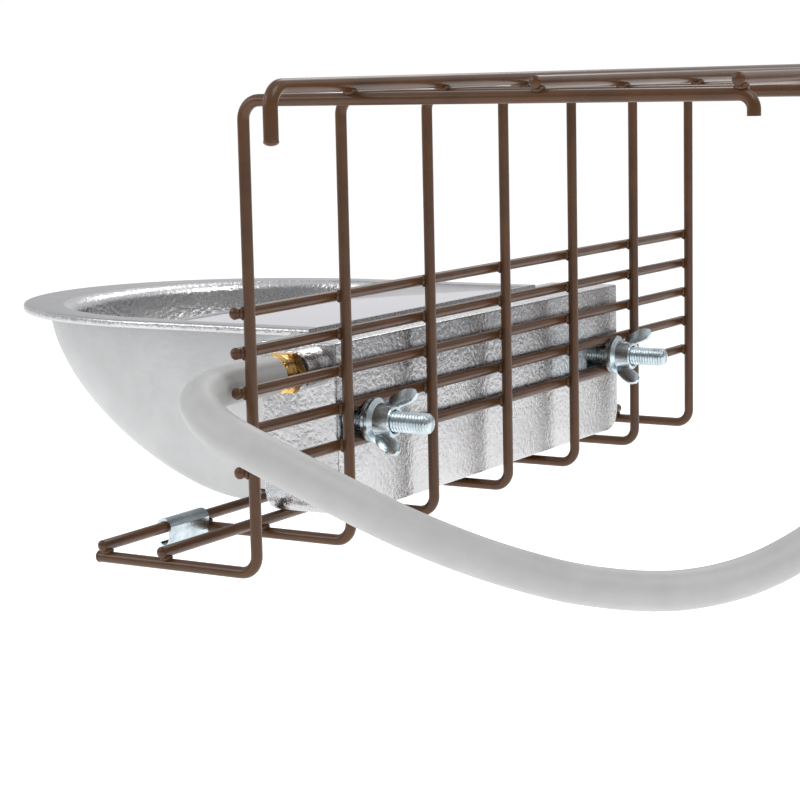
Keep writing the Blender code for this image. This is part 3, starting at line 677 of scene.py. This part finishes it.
print("bowl rings:", len(stack), "faces:", len(bowl.faces))

# %% The ears, and everything that is cut out
ears = block((-EAR_HALF, EAR_FRONT, BOTTOM_Z), (EAR_HALF, BACK_Y, EAR_Z))
low_corners = bevelled(ears, 9.0, 8, 30.0, lambda e: all(v.co.z < -0.15 for v in e.verts)
                       and abs(e.verts[0].co.x - e.verts[1].co.x) < MM)
ears = bevelled(low_corners, 0.9, 3, 60.0)
boss = bar((EAR_HALF - 1, *INLET), (BOSS_END, *INLET), 7.5, 48, 0.8)
foot_relief = block((-95, -113.5, -170), (95, -40, BOTTOM_Z))
tools = [
    block((-85.3, -145.2, -93.1), (85.3, -79.6, -85)),
    block((-80.3, -140.2, -100.9), (80.3, -84.9, -91)),
    block((-72, -140.2, -153.2), (72, -53.4, -96.9), 1.5),
    block((-36, -150.2, -153.2), (36, -139.2, -139.2), 1.0),
    bar((71, *INLET), (140, *INLET), INLET_BORE),
]
for side in (1, -1):
    low, high = sorted((side * 86.8, side * 116.3))
    tools.append(block((low, BACK_Y - 12, STUD_Z - 4.8), (high, BACK_Y + 5, STUD_Z + 4.8)))
    tools.append(bar((side * STUD_X, BACK_Y - 24, STUD_Z), (side * STUD_X, BACK_Y + 1, STUD_Z), 4.3))
bowl = carved(bowl, [foot_relief])
casting = carved(carved(bowl, [ears, boss], "UNION"), tools)

# %% Satin outside, pebbled inside and on the ears
for face in casting.faces:
    place = face.calc_center_median() / MM
    inside = face.normal.z > 0.02 and place.z < RIM_Z - 0.2 and abs(place.x) < 80 and place.y < PARTITION_Y + 1
    inner_wall = place.y < PARTITION_Y + 0.5 and place.z < RIM_Z - 0.2 and (
        face.normal.xy.dot(Vector((place.x, place.y + 165))) < 0
    )
    ear = place.y > EAR_FRONT - 0.5
    rim_edge = abs(place.z - (RIM_Z + RIM_UNDER) / 2) < 1.2 and place.y < EAR_FRONT
    face.material_index = 1 if inside or inner_wall or ear or rim_edge else 0
piece("cast_trough", casting, [cast_satin, cast_pebbled], ["trough_body"], sharp=30.0)

# %% [markdown]
# ## The cover over the float chamber
# A sheet of bright metal lies in a shallow recess behind the bowl. Two tabs bent down under it
# keep it from sliding. It only lies there, so it rides on its own body and lifts straight up.

# %% Cover
cover = merge(
    block((-85, -144.9, -92.8), (85, -79.9, -91.3), 0.5, 3),
    block((77, -122.4, -96.2), (78.4, -102.4, -91.8), 0.3, 2),
    block((-78.4, -122.4, -96.2), (-77, -102.4, -91.8), 0.3, 2),
)
piece("polished_cover", cover, polished_sheet, ["chamber_cover"], body="cover")

# %% [markdown]
# ## Studs, washers and wing nuts
# The studs are M8. The thread is a bar whose radius follows a helix: a point's radius depends on
# how far it is along the bar and how far round, so the ridge climbs one pitch in each turn.

# %% Threaded studs
PITCH, THREAD_STEPS = 1.25, 32


def thread_radius(y, turn):
    share = ((y / PITCH) - turn) % 1.0
    ridge = min(1.0, max(0.0, 1.35 - 2.7 * abs(share - 0.5)))
    return 3.37 + 0.6 * ridge


def threaded_bar(x, z, start, end):
    count = round((end - start) / PITCH * 8)

    def shape(i, j):
        y = between(start, end, j / count)
        fade = min(1.0, (end - y) / 1.2 + 0.15)
        radius = thread_radius(y, i / THREAD_STEPS)
        radius = between(3.1, radius, max(0.0, min(1.0, fade)))
        angle = 2 * math.pi * i / THREAD_STEPS
        return Vector((x + radius * math.cos(angle), y, z + radius * math.sin(angle))) * MM

    return wrapped(THREAD_STEPS, count, shape)


WASHER_Y = -45.1
for side, label in ((1, "near"), (-1, "far")):
    stud = threaded_bar(side * STUD_X, STUD_Z, -73.5, -19.2)
    piece(f"threaded_stud_{label}", stud, zinc, [f"stud_{label}"], sharp=80.0)
    washer = spun([(4.3, 0), (8.0, 0.2), (8.0, 1.4), (7.8, 1.6), (4.3, 1.6)],
                  Vector((side * STUD_X, WASHER_Y, STUD_Z)) * MM, (0, 1, 0))
    piece(f"flat_washer_{label}", washer, zinc, [f"washer_{label}"])

# %% Wing nuts: a flange, a hub and two stamped wings
NUT_Y = -43.2
HUB = [(4.35, 0), (8.4, 0), (8.6, 0.3), (8.55, 1.3), (7.6, 2.0), (6.7, 2.6), (6.3, 5.2), (5.9, 8.6), (5.5, 9.0),
       (4.8, 9.0), (4.35, 8.5)]
WING = [(5.0, 1.8), (7.6, 2.6), (9.8, 3.9), (11.8, 6.2), (13.3, 8.8), (14.0, 11.2), (13.6, 13.4), (12.2, 14.5),
        (10.3, 14.4), (8.6, 13.2), (7.3, 11.0), (6.4, 8.8), (5.0, 8.0)]
for side, label in ((1, "near"), (-1, "far")):
    middle = Vector((side * STUD_X, NUT_Y, STUD_Z)) * MM
    forms = [spun(HUB, middle, (0, 1, 0))]
    for wing_side in (1, -1):
        tilt = Matrix.Rotation(math.radians(-35), 4, "Y")
        upright = Matrix(((0, 0, 1, 0), (0, 1, 0, 0), (wing_side, 0, 0, 0), (0, 0, 0, 1)))
        forms.append(plate(WING, 2.2, Matrix.Translation(middle) @ tilt @ upright, 0.6))
    for form in forms[1:]:
        bmesh.ops.recalc_face_normals(form, faces=form.faces)
    piece(f"winged_nut_{label}", merge(*forms), zinc, [f"wing_nut_{label}"], body=f"{label}_wing_nut")

# %% [markdown]
# ## The inlet fitting
# From the casting outwards: a gasket, the valve's hexagon, and the brass tail that the hose is
# pushed over. The valve's tube and its fork, inside the chamber, keep their CAD shape.

# %% Gasket and tail
AXIS = (1, 0, 0)


def on_inlet(x):
    return Vector((x, *INLET)) * MM


gasket = spun([(INLET_BORE, 0), (6.4, 0), (6.6, 0.3), (6.6, 1.9), (6.4, 2.2), (INLET_BORE, 2.2)],
              on_inlet(BOSS_END + 0.3), AXIS)
piece("black_gasket", gasket, rubber, ["inlet_gasket"])
tail = spun([(2.8, 0), (7.0, 0), (7.3, 0.3), (7.3, 1.2), (6.9, 1.5), (6.9, 1.9), (7.3, 2.2), (7.3, 3.2), (7.0, 3.5),
             (6.1, 4.0), (6.1, 4.6), (5.9, 4.8), (6.1, 5.0), (6.1, 5.9), (5.6, 6.4), (2.8, 6.4)],
            on_inlet(140.9), AXIS)
piece("brass_hose_tail", tail, brass, ["hose_tail"])
print("fitting made")

# %% [markdown]
# ## The float and its lever
# These lie inside the chamber, under the cover. They show only when the cover is lifted.

# %% Float
moulded = block((-45, -106.1, -136.8), (15, -54.1, -115.8), 3.2, 6)
piece("moulded_float", moulded, float_plastic, ["float"], body="float_arm")

# %% [markdown]
# ## The hose
# A soft 14 mm hose leaves the fitting straight, swings round in front of the rack, hangs below it
# and ends in a coupling that a clip holds to the shelf. It follows one smooth curve through a few
# chosen points, and the same points set its place in the CAD model.

# %% Hose
ROUTE = [
    (147.6, -58.6, -100.9), (158, -58.6, -100.9), (178, -58.6, -100.9), (195, -55, -102.5), (206, -46, -106),
    (211, -34, -111), (210, -18, -118), (201, 0, -129), (183, 20, -144), (160, 41, -158), (137, 63, -168),
    (112, 87, -172), (88, 109, -166), (65, 130, -148), (48, 145, -119), (40, 151, -91),
    (38, 152, -70), (38, 152, -50),
]


def smooth_path(points, steps=8):
    points = [Vector(point) for point in points]
    ends = [2 * points[0] - points[1], *points, 2 * points[-1] - points[-2]]
    path = []
    for a, b, c, d in zip(ends, ends[1:], ends[2:], ends[3:]):
        for i in range(steps):
            t = i / steps
            bend = (3 * b - a - 3 * c + d) * t**3 + (2 * a - 5 * b + 4 * c - d) * t**2
            path.append(b + (bend + (c - a) * t) / 2)
    return path + [points[-1]]


hose_path = smooth_path(ROUTE)
hose_length = sum((b - a).length for a, b in zip(hose_path, hose_path[1:]))
hose = wire("grey_hose", hose_path, 14.0, hose_plastic, ["water_hose"], sides=10)
nodes = frame["nodes"]
print("hose length:", round(hose_length), "mm")

# %% [markdown]
# ## Pieces that keep their CAD shape
# The rest is right as it stands. A CAD node gets its finish in its own slots.

# %% Finishes for the carried-over nodes
carried = {
    "brass": (brass, ["valve_body", "valve_plunger", "float_lever", "hose_coupling", "coupling_nut"]),
    "zinc": (zinc, ["cage_clip", "float_screw", "hose_clip", "pivot_pin"]),
    "rubber": (rubber, ["plunger_seal"]),
}
for finish, names in carried.values():
    for name in names:
        mesh = nodes[name].data
        mesh.materials.clear()
        mesh.materials.append(finish)
